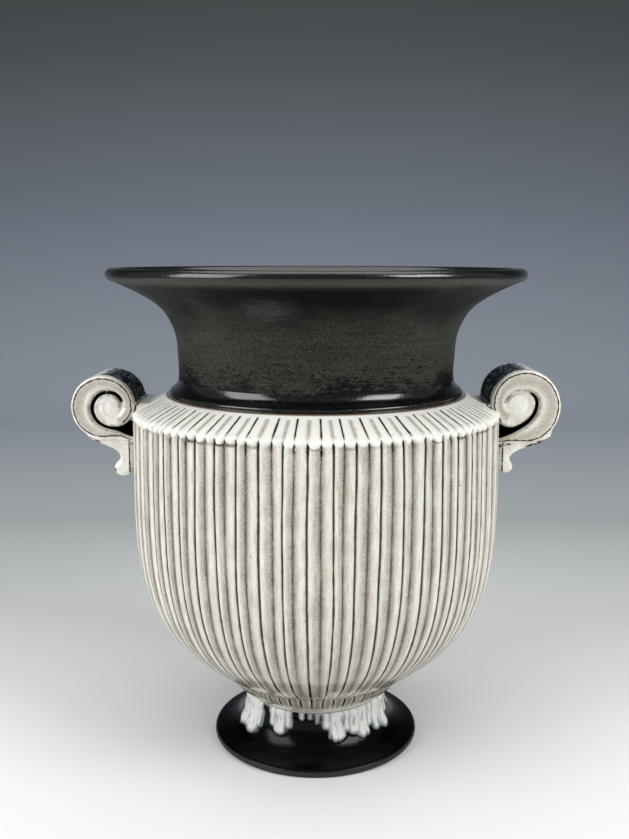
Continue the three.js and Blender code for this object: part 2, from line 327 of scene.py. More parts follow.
white = kraterFoot.data.attributes.new("inWhite", "FLOAT", "POINT")
white.data.foreach_set("value", inWhite.astype(np.float32))
print("stage: foot turned,", len(kraterFoot.data.polygons), "faces")


# Scroll handles: a strap rolled up towards the vase, with its tail down the wall. Angles run
# round the eye from the wall side, down, out and over; radii from the eye
rolls = {
    "length": 43,
    "voxel": 0.72,
    "left": {
        "side": -1, "eye": (123.2, 216.6),
        "outer": [(50, 27.6), (56, 25.6), (63, 23.4), (74, 19.6), (93, 19.0), (111, 20.8), (127, 22.5),
                  (150, 24.4), (180, 25.3), (210, 24.4), (240, 21.6), (270, 18.6), (300, 16.0),
                  (330, 14.3), (360, 13.2), (390, 12.7), (422, 12.6), (450, 11.9), (495, 11.7),
                  (540, 11.3), (585, 9.8), (630, 7.7), (680, 5.8), (725, 4.4)],
        "inner": [(50, 24.4), (56, 22.3), (63, 19.3), (71, 15.9), (80, 14.3), (93, 13.6), (111, 13.4),
                  (140, 13.6), (180, 13.5), (225, 11.8), (270, 9.9), (315, 8.0), (360, 6.6), (405, 5.6),
                  (450, 4.6), (540, 4.6), (630, 4.2), (680, 3.4), (725, 2.6)],
        "eyeSize": 6.2,
        "tail": [(141, 202), (139.6, 198.6), (135.4, 195.6), (130, 193.4), (124.6, 191.4),
                 (120.8, 188.8), (119.4, 186), (120.6, 183.6), (123.2, 181.2), (124, 178), (122, 174.6),
                 (118, 173.4), (113.6, 174.8), (111.2, 180), (111, 190), (111.2, 196.2), (116, 198),
                 (122, 199.4), (130, 200.5)],
        "chip": (123.6, 177.6),
    },
    "right": {
        "side": 1, "eye": (120.0, 219.6),
        "outer": [(56, 30.6), (62, 28.6), (68, 27.0), (82, 24.6), (96, 24.6), (110, 26.2), (129, 28.2),
                  (150, 28.9), (180, 28.2), (210, 25.9), (240, 22.6), (270, 19.2), (300, 16.6),
                  (330, 14.9), (360, 14.1), (380, 14.2), (399, 14.7), (429, 15.5), (450, 14.9),
                  (462, 13.6), (484, 12.9), (510, 12.6), (550, 12.6), (570, 11.0), (590, 8.8),
                  (604, 6.9), (640, 5.4), (680, 4.6)],
        "inner": [(56, 27.2), (62, 25.6), (71, 22.6), (81, 19.8), (92, 17.8), (103, 16.4), (124, 15.4),
                  (150, 14.8), (190, 14.5), (209, 12.6), (228, 10.2), (242, 8.0), (293, 6.2),
                  (360, 5.6), (420, 4.8), (480, 4.4), (540, 4.2), (604, 3.6), (640, 3.2), (680, 2.6)],
        "eyeSize": 8.2,
        "tail": [(145, 203), (143, 198.6), (138.6, 195), (133, 192.9), (126, 191.2), (121.4, 189),
                 (118.4, 186.2), (118.6, 183.8), (120.4, 181.6), (120.8, 178.8), (118.6, 176.2),
                 (114.6, 176), (111, 178.4), (110.8, 184), (111, 189), (111.2, 193.2), (116, 195.2),
                 (122, 196.8), (130, 197.5), (138, 199.6)],
        "chip": None,
    },
}


# A grid bent into a long tube and closed: one row of points for each section
def tubeFrom(name, sections):
    rows, cols = len(sections), len(sections[0])
    selectNothing()
    bpy.ops.mesh.primitive_grid_add(x_subdivisions=cols, y_subdivisions=rows - 1, size=1)
    ob = bpy.context.object
    ob.name = ob.data.name = name
    co = getPoints(ob)
    i = np.rint((co[:, 1] + 0.5) * (rows - 1)).astype(int)
    j = np.rint((co[:, 0] + 0.5) * cols).astype(int) % cols
    setPoints(ob, np.array(sections)[i, j] * mm)
    bpy.ops.object.mode_set(mode="EDIT")
    bpy.ops.mesh.select_all(action="SELECT")
    bpy.ops.mesh.remove_doubles(threshold=1e-7)
    bpy.ops.mesh.select_all(action="DESELECT")
    bpy.ops.mesh.select_mode(type="EDGE")
    bpy.ops.mesh.select_non_manifold()
    bpy.ops.mesh.fill_holes(sides=0)
    bpy.ops.mesh.select_all(action="SELECT")
    bpy.ops.mesh.normals_make_consistent(inside=False)
    bpy.ops.object.mode_set(mode="OBJECT")
    return ob


# Section of the strap from its inner to its outer skin, with rounded edges and hollow faces
def strapSection(near, far, half, corner, hollow):
    near, far = np.array(near), np.array(far)
    thick = float(np.linalg.norm(far - near))
    way = (far - near) / thick
    c = min(corner, thick * 0.48)
    dip = hollow * min(1, thick / 10)
    front = [(c + (thick - 2 * c) * t, -half + dip * (1 - (2 * t - 1) ** 2)) for t in (0, 0.25, 0.5, 0.75, 1)]
    outside = [(thick - c + c * math.sin(a), -half + c - c * math.cos(a)) for a in (0.52, 1.05, 1.57)]
    inside = [(c - c * math.sin(a), half - c + c * math.cos(a)) for a in (0.52, 1.05, 1.57)]
    flip = lambda part: [(s, -y) for s, y in reversed(part)]
    ring = front + outside + [(thick, -half / 2), (thick, 0), (thick, half / 2)] + flip(outside) + flip(front)
    ring += inside + [(0, half / 2), (0, 0), (0, -half / 2)] + flip(inside)
    return [(*(near + way * s), y) for s, y in ring]


# A closed outline of (x, height) made a slab across the handle, its edges rounded
def slabFrom(name, side, outline, half, edge):
    p = np.array(outline, dtype=float)
    for _ in range(3):
        q = np.roll(p, -1, axis=0)
        p = np.column_stack([0.75 * p + 0.25 * q, 0.25 * p + 0.75 * q]).reshape(-1, 2)
    along = np.roll(p, -1, axis=0) - np.roll(p, 1, axis=0)
    along /= np.linalg.norm(along, axis=1)[:, None]
    q = np.roll(p, -1, axis=0)
    turned = np.sign((p[:, 0] * q[:, 1] - q[:, 0] * p[:, 1]).sum())
    inward = turned * np.column_stack([-along[:, 1], along[:, 0]])
    front = [(-half + edge * (1 - math.cos(math.radians(a))), edge * (1 - math.sin(math.radians(a))))
             for a in (0, 25, 50, 90)]
    rows = []
    for y, inset in front + [(-y, inset) for y, inset in reversed(front)]:
        rows.append([(side * x, y, z) for x, z in p + inward * inset])
    return tubeFrom(name, rows)


def scrollHandle(name, roll):
    side, eye = roll["side"], np.array(roll["eye"])
    half = rolls["length"] / 2
    toward = lambda a: np.array([-math.cos(math.radians(a)), -math.sin(math.radians(a))])

    def soft(table, a):                       # the same reading, rounded off over a few degrees
        keys = np.array([k for k, _ in table], dtype=float)
        vals = np.array([r for _, r in table], dtype=float)
        near = np.linspace(a - 14, a + 14, 9)
        weight = np.hanning(11)[1:-1]
        near = np.clip(near, keys[0], keys[-1])
        return float((np.interp(near, keys, vals) * weight).sum() / weight.sum())

    first, last = roll["outer"][0][0], roll["outer"][-1][0]
    sections = []
    for a in np.arange(first, last + 0.1, 4.5):
        near, far = soft(roll["inner"], a), soft(roll["outer"], a)
        slim = smooth(first + 340, first + 430, a)          # the strap ends narrower inside
        section = strapSection(eye + toward(a) * near, eye + toward(a) * far, half - 0.3 * slim,
                               2.3 - 0.6 * slim, 0.9)
        sections.append([(side * x, y, z) for x, z, y in section])
    strap = tubeFrom(name, sections)

    # eye: a rounded boss, a little proud of the face at its middle
    size = roll["eyeSize"]
    rows = []
    for y, share in ((-half + 0.1, 0.02), (-half + 0.15, 0.3), (-half + 0.5, 0.6),
                     (-half + 1.2, 0.84), (-half + 2.4, 0.97), (-half + 4, 1.0), (half - 4, 1.0),
                     (half - 2.4, 0.97), (half - 1.2, 0.84), (half - 0.5, 0.6), (half - 0.15, 0.3),
                     (half - 0.1, 0.02)):
        rows.append([(side * (eye[0] + size * share * math.cos(t)), y, eye[1] + size * share * math.sin(t))
                     for t in np.linspace(0, 2 * math.pi, 33)[:-1]])
    boss = tubeFrom(name + "Eye", rows)

    # tail: the strap's other end, pressed on the wall and curled out at its tip; and the
    # clay smeared from the roll on to the shoulder
    tail = slabFrom(name + "Tail", side, roll["tail"], half - 1.3, 2.6)
    web = [(118, 222.6), (112.6, 221.4), (109.2, 219.6), (106.2, 218.8), (102.6, 218.9), (99.5, 219.2),
           (99.5, 215.5), (104, 211.0), (110.5, 209.4), (114, 209.8), (117, 212)]
    pad = slabFrom(name + "Web", side, web, half - 1.5, 2.4)

    selectOnly(strap, boss, tail, pad)
    bpy.ops.object.join()
    ob = bpy.context.object
    # one clay under one glaze: the pieces are melted together and softened
    bpy.ops.object.modifier_add(type="REMESH")
    melt = ob.modifiers[-1]
    melt.mode = "VOXEL"
    melt.voxel_size = rolls["voxel"] * mm
    bpy.ops.object.modifier_apply(modifier=melt.name)
    bpy.ops.object.modifier_add(type="SMOOTH")
    soften = ob.modifiers[-1]
    soften.factor = 0.5
    soften.iterations = 3
    bpy.ops.object.modifier_apply(modifier=soften.name)
    bpy.ops.object.shade_smooth()

    # what the glaze needs to know of the roll: its edge line, the gap, and the dark top
    co = getPoints(ob) / mm
    x, y, z = side * co[:, 0], co[:, 1], co[:, 2]
    dx, dz = x - eye[0], z - eye[1]
    away = np.hypot(dx, dz)
    turnAt = np.degrees(np.arctan2(-dz, -dx)) % 360
    outer = np.array(roll["outer"], dtype=float)
    inner = np.array(roll["inner"], dtype=float)
    firstOut = np.interp(turnAt, outer[:, 0], outer[:, 1])
    nextOut = np.interp(turnAt + 360, outer[:, 0], outer[:, 1])
    firstIn = np.interp(turnAt, inner[:, 0], inner[:, 1])
    rimAt = np.where(turnAt > 58, firstOut, nextOut)
    atFace = smooth(1.9, 0.9, half - np.abs(y))
    edge = (rimAt - away) - 2.0
    edge = np.where(turnAt > 58, edge, (nextOut - away) - 1.6)
    edge = edge + (1 - atFace) * 4
    deep = smooth(1.2, 3.6, half - np.abs(y))
    gap = deep * smooth(-0.3, 0.9, np.minimum(away - nextOut + 1.4, firstIn + 1.4 - away)) * (turnAt > 50)
    beside = np.where(turnAt > 50, np.maximum(nextOut - away, away - firstIn), 9)
    fringe = atFace * smooth(2.4, 0.2, np.abs(beside))
    window = smooth(232, 262, turnAt) * np.where(turnAt > 200, 1, 0)
    window = window + (1 - smooth(4, 16, turnAt)) * np.where(turnAt < 90, 1, 0)
    topped = window * smooth(-3.0, -1.0, away - rimAt) * smooth(1.8, 0.6, away - rimAt)
    topped = topped * smooth(1.4, 5.0, half - np.abs(y))
    # the tail meets the wall along a bare line, and the left one has a chip at its tip
    besideWall = (z > 176) & (z < 196.5) & (np.abs(y) > half - 4.5)
    edge = np.where(besideWall, np.minimum(np.abs(edge), np.abs(x - 113.7)), edge)
    if roll["chip"]:
        fromChip = np.hypot(np.hypot(x - roll["chip"][0], z - roll["chip"][1]) / 1.7, (y + half - 1.5) / 3)
        edge = np.where(fromChip < 1.3, np.minimum(np.abs(edge), np.maximum(fromChip - 0.6, 0)), edge)
    # painted shade along the hollow middle of the strap's outer turn, and none in the inner turn
    nextIn = np.interp(turnAt + 360, inner[:, 0], inner[:, 1])
    bandIn = np.where(turnAt > 70, firstIn, nextIn)
    bandOut = np.where(turnAt > 70, firstOut, nextOut)
    fromMiddle = np.abs(away - (bandIn + bandOut) / 2)
    faceShade = atFace * smooth(0.9, 0.1, fromMiddle / np.maximum(bandOut - bandIn, 1) * 2)
    for label, values in (("edgeLine", edge), ("inGap", gap), ("darkTop", topped), ("hollowFaceShade", faceShade),
                          ("fringe", fringe)):
        attr = ob.data.attributes.new(label, "FLOAT", "POINT")
        attr.data.foreach_set("value", values.astype(np.float32))
    corner = np.empty(len(ob.data.loops), dtype=int)
    ob.data.loops.foreach_get("vertex_index", corner)
    start = np.empty(len(ob.data.polygons), dtype=int)
    ob.data.polygons.foreach_get("loop_start", start)
    hollowFaces[name] = np.nonzero(np.minimum.reduceat(gap[corner], start) > 0.6)[0]
    topFaces[name] = np.nonzero(np.minimum.reduceat(topped[corner], start) > 0.97)[0]
    print("stage:", name, len(ob.data.polygons), "faces")
    return ob


hollowFaces = {}                              # the faces down in each scroll's groove and hole
topFaces = {}                                 # the faces on each scroll's worn black top
leftScroll = scrollHandle("leftScroll", rolls["left"])
rightScroll = scrollHandle("rightScroll", rolls["right"])


# Glazes
def linear(hexColour):
    parts = [int(hexColour[k:k + 2], 16) / 255 for k in (1, 3, 5)]
    return tuple(p / 12.92 if p < 0.04045 else ((p + 0.055) / 1.055) ** 2.4 for p in parts) + (1.0,)


# Adds one node: settings by name, inputs by place or by name, each a value or a link. By place,
# a ramp is its value, from, from, to, to; a noise is its vector, nothing, scale, detail, roughness
def put(tree, kind, inputs=(), **settings):
    node = tree.nodes.new("ShaderNode" + kind)
    for key, value in settings.items():
        setattr(node, key, value)
    pairs = inputs.items() if isinstance(inputs, dict) else enumerate(inputs)
    for key, value in pairs:
        if value is None:
            continue
        if hasattr(value, "outputs"):
            value = value.outputs[0]
        if isinstance(value, bpy.types.NodeSocket):
            tree.links.new(value, node.inputs[key])
        else:
            node.inputs[key].default_value = value
    return node


def newMaterial(name):
    mat = bpy.data.materials.new(name)
    mat.use_nodes = True
    mat.node_tree.nodes.clear()
    return mat, mat.node_tree


def finish(tree, colour, rough, height, bumpMm, **sockets):
    bump = put(tree, "Bump", {"Height": height, "Strength": 1.0, "Distance": bumpMm * mm})
    shader = put(tree, "BsdfPrincipled", {"Base Color": colour, "Roughness": rough, "Normal": bump})
    for key, value in sockets.items():
        shader.inputs[key.replace("_", " ")].default_value = value
    put(tree, "OutputMaterial", {"Surface": shader.outputs[0]})


# Lays tones over a colour one by one. A coat is its tone and its masks, which multiply; a mask
# is a number, a socket, or the value and ends of a ramp, with "soft" last where it eases
def coats(tree, below, *rows):
    for tone, *masks in rows:
        factor = None
        for mask in masks:
            if isinstance(mask, tuple):
                ease = "SMOOTHSTEP" if mask[-1] == "soft" else "LINEAR"
                mask = put(tree, "MapRange", mask[:5], interpolation_type=ease)
            factor = mask if factor is None else put(tree, "Math", (factor, mask), operation="MULTIPLY")
        over = linear(tone) if isinstance(tone, str) else tone
        layer = put(tree, "Mix", {"Factor": factor, "A": below, "B": over}, data_type="RGBA")
        below = layer.outputs["Result"]
    return below


# The ramp of a mask that is full up to one distance and gone at the next
def fadeOut(value, full, gone, most=1.0):
    return value, full, gone, most, 0.0, "soft"


# White glaze over dark stoneware, carved: it runs off the sharp edges and out of the cuts,
# so each deep groove shows as a crisp dark line with a rusty fringe, and it lies thin and
# grey-brown in the wide light grooves, darkened further there by painted shade
whiteGlaze, t = newMaterial("whiteGlazeOverDarkStoneware")
glazeMap = put(t, "SeparateXYZ", (put(t, "UVMap", uv_map="glazeMap"),))
acrossReeds, upGlaze = glazeMap.outputs[0], glazeMap.outputs[1]
spot = put(t, "TexCoord").outputs["Object"]
xyz = put(t, "SeparateXYZ", (spot,))
ground = put(t, "CombineXYZ", (xyz.outputs[0], xyz.outputs[1], 0.0))
radial = put(t, "VectorMath", (ground,), operation="LENGTH").outputs["Value"]
# mm from groove to groove, then from a point to the nearest deep, light or any groove
pitch = put(t, "Math", (radial, 2 * math.pi / lineCount / mm), operation="MULTIPLY")
fromDeep = put(t, "Math", (acrossReeds, 1.0), operation="PINGPONG")
deepMm = put(t, "Math", (fromDeep, pitch), operation="MULTIPLY")
halfway = put(t, "Math", (acrossReeds, 0.5), operation="MULTIPLY")
halfTurn = put(t, "Math", (halfway,), operation="FRACT")
fromLight = put(t, "Math", (put(t, "Math", (halfTurn, 0.5), operation="SUBTRACT"), 2.0), operation="MULTIPLY")
lightSide = put(t, "Math", (fromLight, pitch), operation="MULTIPLY")          # minus is left
lightMm = put(t, "Math", (lightSide,), operation="ABSOLUTE")
fromAny = put(t, "Math", (acrossReeds, 0.5), operation="PINGPONG")
anyMm = put(t, "Math", (fromAny, pitch), operation="MULTIPLY")
lineNumber = put(t, "Math", (acrossReeds,), operation="ROUND")
pairNumber = put(t, "Math", (halfway,), operation="FLOOR")
# unevenness along each line, along each pair, and streaks a millimetre and a half wide
stretched = []
for number, spread, length, seed, detail, rough in (
        (lineNumber, 3.7, 12, 0.0, 3.0, 0.6), (pairNumber, 5.3, 26, 4.0, 3.0, 0.65),
        (acrossReeds, 3.4, 16, 9.0, 2.0, 0.6)):
    at = put(t, "CombineXYZ", (put(t, "Math", (number, spread), operation="MULTIPLY"),
                               put(t, "Math", (upGlaze, 1 / length), operation="MULTIPLY"), seed))
    stretched.append(put(t, "TexNoise", (at, None, 1.0, detail, rough)).outputs["Fac"])
uneven, bandMood, streaks = stretched
fineGrain, clouds, dust = [
    put(t, "TexNoise", (spot, None, 1 / (size * mm), detail, rough)).outputs["Fac"]
    for size, detail, rough in ((1.0, 2.0, 0.75), (14, 4.0, 0.6), (0.55, 2.0, 0.8))]
shoulder = put(t, "MapRange", (upGlaze, edgeRun - 0.5, edgeRun + 0.7)).outputs[0]
belowShoulder = put(t, "Math", (1.0, shoulder), operation="SUBTRACT")
bandCentre = put(t, "Math", (put(t, "Math", (lightSide, 0.55), operation="ADD"),), operation="ABSOLUTE")
fromLip = put(t, "Math", (upGlaze, edgeRun + 1.4), operation="SUBTRACT")
fromLip = put(t, "Math", (fromLip,), operation="ABSOLUTE")

grainMask = (fineGrain, 0.34, 0.64, 0.62, 1.2)
moodMask = (bandMood, 0.3, 0.6, 0.55, 1.0)
streakMask = (streaks, 0.35, 0.65, 0.75, 1.0)
valleyEnds = (upGlaze, edgeRun + 2.5, edgeRun + 6.5)
valleyTop = fadeOut(upGlaze, topRun - 6.0, topRun - 3.5)
lowFade = (upGlaze, 8.0, 15.0)
brokenUp = (uneven, 0.34, 0.52, 0.3, 1.0)
wandering = put(t, "Math", (upGlaze, put(t, "Math", (uneven, 60.0), operation="MULTIPLY")), operation="ADD")
lightLow = (wandering, 85.0, 125.0, 0.12, 1.0)
shoulderFade = (upGlaze, edgeRun + 3.0, edgeRun + 7.0)
shoulderTopFade = fadeOut(upGlaze, topRun - 4.0, topRun - 3.2)

# dark lines, each with its half width, how much that varies and how soft its sides are: the
# deep grooves show 1 mm of bare clay, the light ones a thinner line that is broken in places
cutLines = []
for distance, halfWidth, spread, crisp in (
        (deepMm, 0.85, 0.2, 0.25), (lightMm, 0.3, 0.5, 0.12), (deepMm, 0.5, 0.3, 0.12),
        (lightMm, 0.75, 0.3, 0.3), (lightMm, 0.42, 0.45, 0.12)):
    widthNow = put(t, "MapRange", (uneven, 0.3, 0.7, halfWidth * (1 - spread), halfWidth * (1 + spread)))
    cutLines.append(fadeOut(put(t, "Math", (distance, widthNow), operation="SUBTRACT"), -crisp, crisp))
deepFringe, lightLine, deepLine, topFringe, topLine = cutLines

# a dark pit of its own size under the edge at each groove, running down into it, bare clay with
# painted shade in the recess under the overhanging reed ends; and a thin painted shadow line under
# some of the reed ends
ownChance, reedChance = [
    put(t, "TexWhiteNoise", {"W": put(t, "Math", (number, own), operation="ADD")},
        noise_dimensions="1D").outputs["Value"]
    for number, own in ((lineNumber, 0.37), (put(t, "Math", (acrossReeds,), operation="FLOOR"), 0.61))]
pitLift = put(t, "MapRange", (ownChance, None, None, edgeRun - 0.4, edgeRun - 2.2))
pitUp = put(t, "Math", (upGlaze, pitLift), operation="SUBTRACT")
pitTall = put(t, "Math", (pitUp, put(t, "MapRange", (pitUp, -0.01, 0.01, 0.35, 0.8))), operation="MULTIPLY")
pitWide = put(t, "Math", (anyMm, 2.1), operation="MULTIPLY")
pitSpot = put(t, "CombineXYZ", (pitWide, pitTall, 0.0))
pitAway = put(t, "VectorMath", (pitSpot,), operation="LENGTH").outputs["Value"]
pitSize = put(t, "MapRange", (ownChance, None, None, 0.7, 1.6))
pitEdge = put(t, "Math", (pitAway, pitSize), operation="SUBTRACT")
shadowUnderEnd = put(t, "Math", (upGlaze, edgeRun - 1.9), operation="SUBTRACT")
shadowUnderEnd = put(t, "Math", (shadowUnderEnd,), operation="ABSOLUTE")
dots = put(t, "TexVoronoi", {"Vector": spot, "Scale": 1 / (10 * mm)}, feature="F1").outputs["Distance"]

base = coats(
    t, linear("#e8e6dc"),
    ("#d8d6ca", (clouds, 0.38, 0.7)),
    ("#c3beb2", (streaks, 0.5, 0.75), belowShoulder),
    ("#a39a8f", (dust, 0.5, 0.72), 0.75),
    # grey-brown band and darker trough at each light groove: thin glaze plus painted shade, the band set off
    # to the left
    ("#988d81", fadeOut(bandCentre, 1.4, 4.4), belowShoulder, grainMask, moodMask, streakMask),
    ("#6d6056", fadeOut(lightMm, 0.3, 1.7, 0.95), belowShoulder, grainMask, moodMask),
    # greyer down the lower belly towards the foot
    ("#a69d91", fadeOut(upGlaze, 20.0, 110.0, 0.4)),
    # painted light: the upward-facing shoulder made whiter than the belly
    ("#f4f2eb", shoulder, 0.8),
    # painted shade in the soft grey valleys on the shoulder, and the thickest glaze on the rounded ends
    ("#8d877f", fadeOut(deepMm, 0.1, 2.0, 0.75), shoulder, grainMask, valleyEnds, valleyTop),
    ("#eae9e1", fadeOut(fromLip, 1.0, 3.0, 0.8)),
    ("#9c8474", deepFringe, belowShoulder, lowFade, 0.6),
    ("#3f3029", lightLine, belowShoulder, lowFade, lightLow, brokenUp, 0.9),
    ("#0c0806", deepLine, belowShoulder, lowFade),
    # on the shoulder the dark lines stand over the light grooves and fade before the edge
    ("#8b837b", topFringe, shoulder, shoulderFade, shoulderTopFade, 0.6),
    ("#1d1714", topLine, shoulder, shoulderFade, shoulderTopFade),
    # painted shadow under the reed ends, then the pits darkened with painted shade
    ("#4c392f", fadeOut(shadowUnderEnd, 0.3, 1.3), brokenUp, (reedChance, 0.45, 1.0)),
    ("#1a0f0a", fadeOut(pitEdge, -0.25, 0.3)),
    # white ring above the foot, a rusty step under the collar, and sparse dark pinholes
    ("#d9d7ca", fadeOut(upGlaze, 7.0, 12.0, 0.8)),
    ("#5d4a40", (upGlaze, topRun - 2.0, topRun - 0.6)),
    ("#2b211d", fadeOut(dots, 0.03, 0.05, 0.85)))
glazeRough = put(t, "MapRange", (fineGrain, 0.3, 0.7, 0.04, 0.08))
finish(t, base, glazeRough, put(t, "Math", (fineGrain, streaks), operation="ADD"), 0.025, IOR=1.6)

# Black satin glaze: dull, with an olive-grey speckle and faint throwing lines; it pooled
# thick and glossy on the collar, and painted shade makes it blackest under the flare
blackSatin, t = newMaterial("blackSatinGlaze")
spot = put(t, "TexCoord").outputs["Object"]
levelMm = put(t, "Math", (put(t, "SeparateXYZ", (spot,)).outputs[2], 1 / mm), operation="MULTIPLY")
grain, drift = [
    put(t, "TexNoise", (spot, None, 1 / (size * mm), detail, rough)).outputs["Fac"]
    for size, detail, rough in ((0.8, 2.0, 0.75), (22, 3.0, 0.5))]
rings, crawl = [
    put(t, "TexNoise", (put(t, "VectorMath", (spot, (1 / (wide * mm), 1 / (wide * mm), 1 / (tall * mm))),
                            operation="MULTIPLY"), None, 1.0, detail, rough)).outputs["Fac"]
    for wide, tall, detail, rough in ((26, 1.5, 3.0, 0.6), (5, 1.2, 4.0, 0.7))]
mattEdge = put(t, "Math", (put(t, "MapRange", (crawl, 0.3, 0.7, 9.0, -9.0)),
                           put(t, "MapRange", (drift, 0.35, 0.65, 6.0, -4.0))), operation="ADD")
matt = put(t, "MapRange", (put(t, "Math", (levelMm, mattEdge), operation="ADD"), 236.5, 241.0))
waved = put(t, "Math", (levelMm, put(t, "MapRange", (drift, 0.3, 0.7, -5.0, 5.0))), operation="ADD")
# where a finger touched the wet glaze on the front of the flare
smearSpot = put(t, "VectorMath", (spot, (-0.0265, -0.089, 0.2795)), operation="SUBTRACT")
smearSize = (1 / (19 * mm), 1 / (30 * mm), 1 / (8.5 * mm))
smearSpot = put(t, "VectorMath", (smearSpot, smearSize), operation="MULTIPLY")
smear = put(t, "VectorMath", (smearSpot,), operation="LENGTH").outputs["Value"]
smear = put(t, "Math", (smear, put(t, "MapRange", (crawl, 0.3, 0.7, -0.45, 0.45))), operation="ADD")
colour = coats(
    t, linear("#0a0b0a"),
    ("#1e1f1c", matt),
    ("#484940", (grain, 0.42, 0.66), matt),
    ("#12130f", (rings, 0.5, 0.66), matt, 0.35),
    ("#3e3f37", (rings, 0.48, 0.34), matt, 0.3),
    # painted shade under the flare: the blackest band
    ("#050605", (waved, 264.0, 283.0), fadeOut(levelMm, 289.5, 292.5), 0.9),
    # a lighter olive band at the lip's lower edge: painted reflection of the bright floor
    ("#4c4b42", (levelMm, 291.4, 293.2), fadeOut(levelMm, 294.0, 296.5), 0.6),
    # crawled specks in rows above the collar, and the cloudy grey smear
    ("#050505", (waved, 236.0, 239.0), fadeOut(waved, 246.0, 252.0), (crawl, 0.56, 0.6)),
    ("#484945", fadeOut(smear, 0.15, 1.1), 0.62))
rough = put(t, "MapRange", (drift, 0.3, 0.7, 0.38, 0.5))
relief = put(t, "Math", (grain, rings), operation="ADD")
finish(t, colour, rough, relief, 0.05, IOR=1.5, Specular_IOR_Level=0.1)

# The same black where it pooled, on the collar and the lip: wet-looking, a few dull specks
pooledBlack, t = newMaterial("pooledBlackGlaze")
spot = put(t, "TexCoord").outputs["Object"]
levelMm = put(t, "Math", (put(t, "SeparateXYZ", (spot,)).outputs[2], 1 / mm), operation="MULTIPLY")
specks = put(t, "TexNoise", (spot, None, 1 / (1.6 * mm), 3.0, 0.7)).outputs["Fac"]
rustAt = put(t, "Math", (put(t, "Math", (levelMm, 224.7), operation="SUBTRACT"),), operation="ABSOLUTE")
colour = coats(
    t, linear("#070808"),
    ("#1f201d", (specks, 0.52, 0.7)),
    ("#121311", (levelMm, 280.0, 290.0), 0.8),
    ("#4e3b31", fadeOut(rustAt, 0.2, 0.7), (specks, 0.42, 0.6)))
rough = put(t, "MapRange", (specks, 0.4, 0.7, 0.1, 0.28))
finish(t, colour, rough, specks, 0.05, IOR=1.5, Specular_IOR_Level=0.55)

# Black glaze on the foot, smooth and deep, with milky runs; rubbed brown at its standing edge
blackGloss, t = newMaterial("blackGlossGlaze")
spot = put(t, "TexCoord").outputs["Object"]
levelMm = put(t, "Math", (put(t, "SeparateXYZ", (spot,)).outputs[2], 1 / mm), operation="MULTIPLY")
glazeMap = put(t, "SeparateXYZ", (put(t, "UVMap", uv_map="glazeMap"),))
streakSpot = put(t, "CombineXYZ", (put(t, "Math", (glazeMap.outputs[0], 1 / 2.4), operation="MULTIPLY"),
                                   put(t, "Math", (glazeMap.outputs[1], 1 / 14), operation="MULTIPLY"), 2.0))
streaks = put(t, "TexNoise", (streakSpot, None, 1.0, 3.0, 0.6)).outputs["Fac"]
grain = put(t, "TexNoise", (spot, None, 1 / (1.4 * mm), 3.0, 0.7)).outputs["Fac"]
whiteBy = put(t, "Math", (put(t, "Attribute", attribute_name="inWhite").outputs["Fac"],
                          put(t, "MapRange", (streaks, 0.3, 0.7, -0.6, 0.5))), operation="ADD")
runTone = coats(
    t, linear("#5e666a"),
    ("#d9dbd6", (whiteBy, 0.3, 2.8)),
    ("#4d565b", (streaks, 0.46, 0.34), fadeOut(levelMm, 26.0, 30.0), 0.75))
cover = put(t, "MapRange", (whiteBy, -0.3, 0.7), interpolation_type="SMOOTHSTEP")
worn = put(t, "MapRange", (levelMm, 2.8, 4.6, 1.0, 0.0), interpolation_type="SMOOTHSTEP")
colour = coats(t, linear("#020303"), (runTone, cover), ("#3a3631", worn, 0.85))
rough = put(t, "MapRange", (worn, None, None, 0.17, 0.5))
rough = put(t, "Math", (rough, put(t, "MapRange", (cover, None, None, 0.0, -0.15))), operation="ADD")
relief = put(t, "Math", (grain, streaks), operation="ADD")
finish(t, colour, rough, relief, 0.04, IOR=1.5, Specular_IOR_Level=0.12)

# The same white on the scrolls: thick and glossy on the faces, worn through to black on top
scrollGlaze, t = newMaterial("whiteGlazeOnScrolls")
spot = put(t, "TexCoord").outputs["Object"]
grain, clouds, lumps = [
    put(t, "TexNoise", (spot, None, 1 / (size * mm), detail, rough)).outputs["Fac"]
    for size, detail, rough in ((1.0, 2.0, 0.7), (8, 4.0, 0.6), (3, 4.0, 0.65))]
faceShade, topped, edgeLine, fringe, inGap = [
    put(t, "Attribute", attribute_name=name).outputs["Fac"]
    for name in ("hollowFaceShade", "darkTop", "edgeLine", "fringe", "inGap")]
ragged = put(t, "Math", (topped, put(t, "MapRange", (lumps, 0.3, 0.7, -0.75, 0.55))), operation="ADD")
ragged = put(t, "MapRange", (ragged, 0.5, 0.58), interpolation_type="SMOOTHSTEP")
mottle = coats(t, linear("#090b0d"), ("#343d44", (lumps, 0.48, 0.62)), ("#7a868c", (grain, 0.58, 0.7)))
edgeBy = put(t, "Math", (edgeLine,), operation="ABSOLUTE")
edgeWide = put(t, "MapRange", (lumps, 0.3, 0.7, 0.15, 0.55))
pastEdge = put(t, "Math", (edgeBy, edgeWide), operation="SUBTRACT")
outOfGap = put(t, "Math", (1.0, inGap), operation="SUBTRACT")
colour = coats(
    t, linear("#f7f5ef"),
    ("#dedace", (clouds, 0.35, 0.62)),
    # painted shade along the hollow middle of each strap face
    ("#b3ab9c", faceShade, (grain, 0.35, 0.65, 0.5, 1.0)),
    (mottle, ragged),
    ("#a8917c", fadeOut(edgeBy, 0.4, 1.3, 0.5), (lumps, 0.42, 0.6)),
    ("#2c1d16", fadeOut(pastEdge, -0.12, 0.22)),
    ("#7d6656", fringe, (lumps, 0.36, 0.62, 0.15, 0.95)),
    # black down in the gap: painted shade over its dark sides
    ("#060606", fadeOut(outOfGap, 0.3, 0.95)))
finish(t, colour, 0.13, put(t, "Math", (grain, lumps), operation="ADD"), 0.07, IOR=1.5)

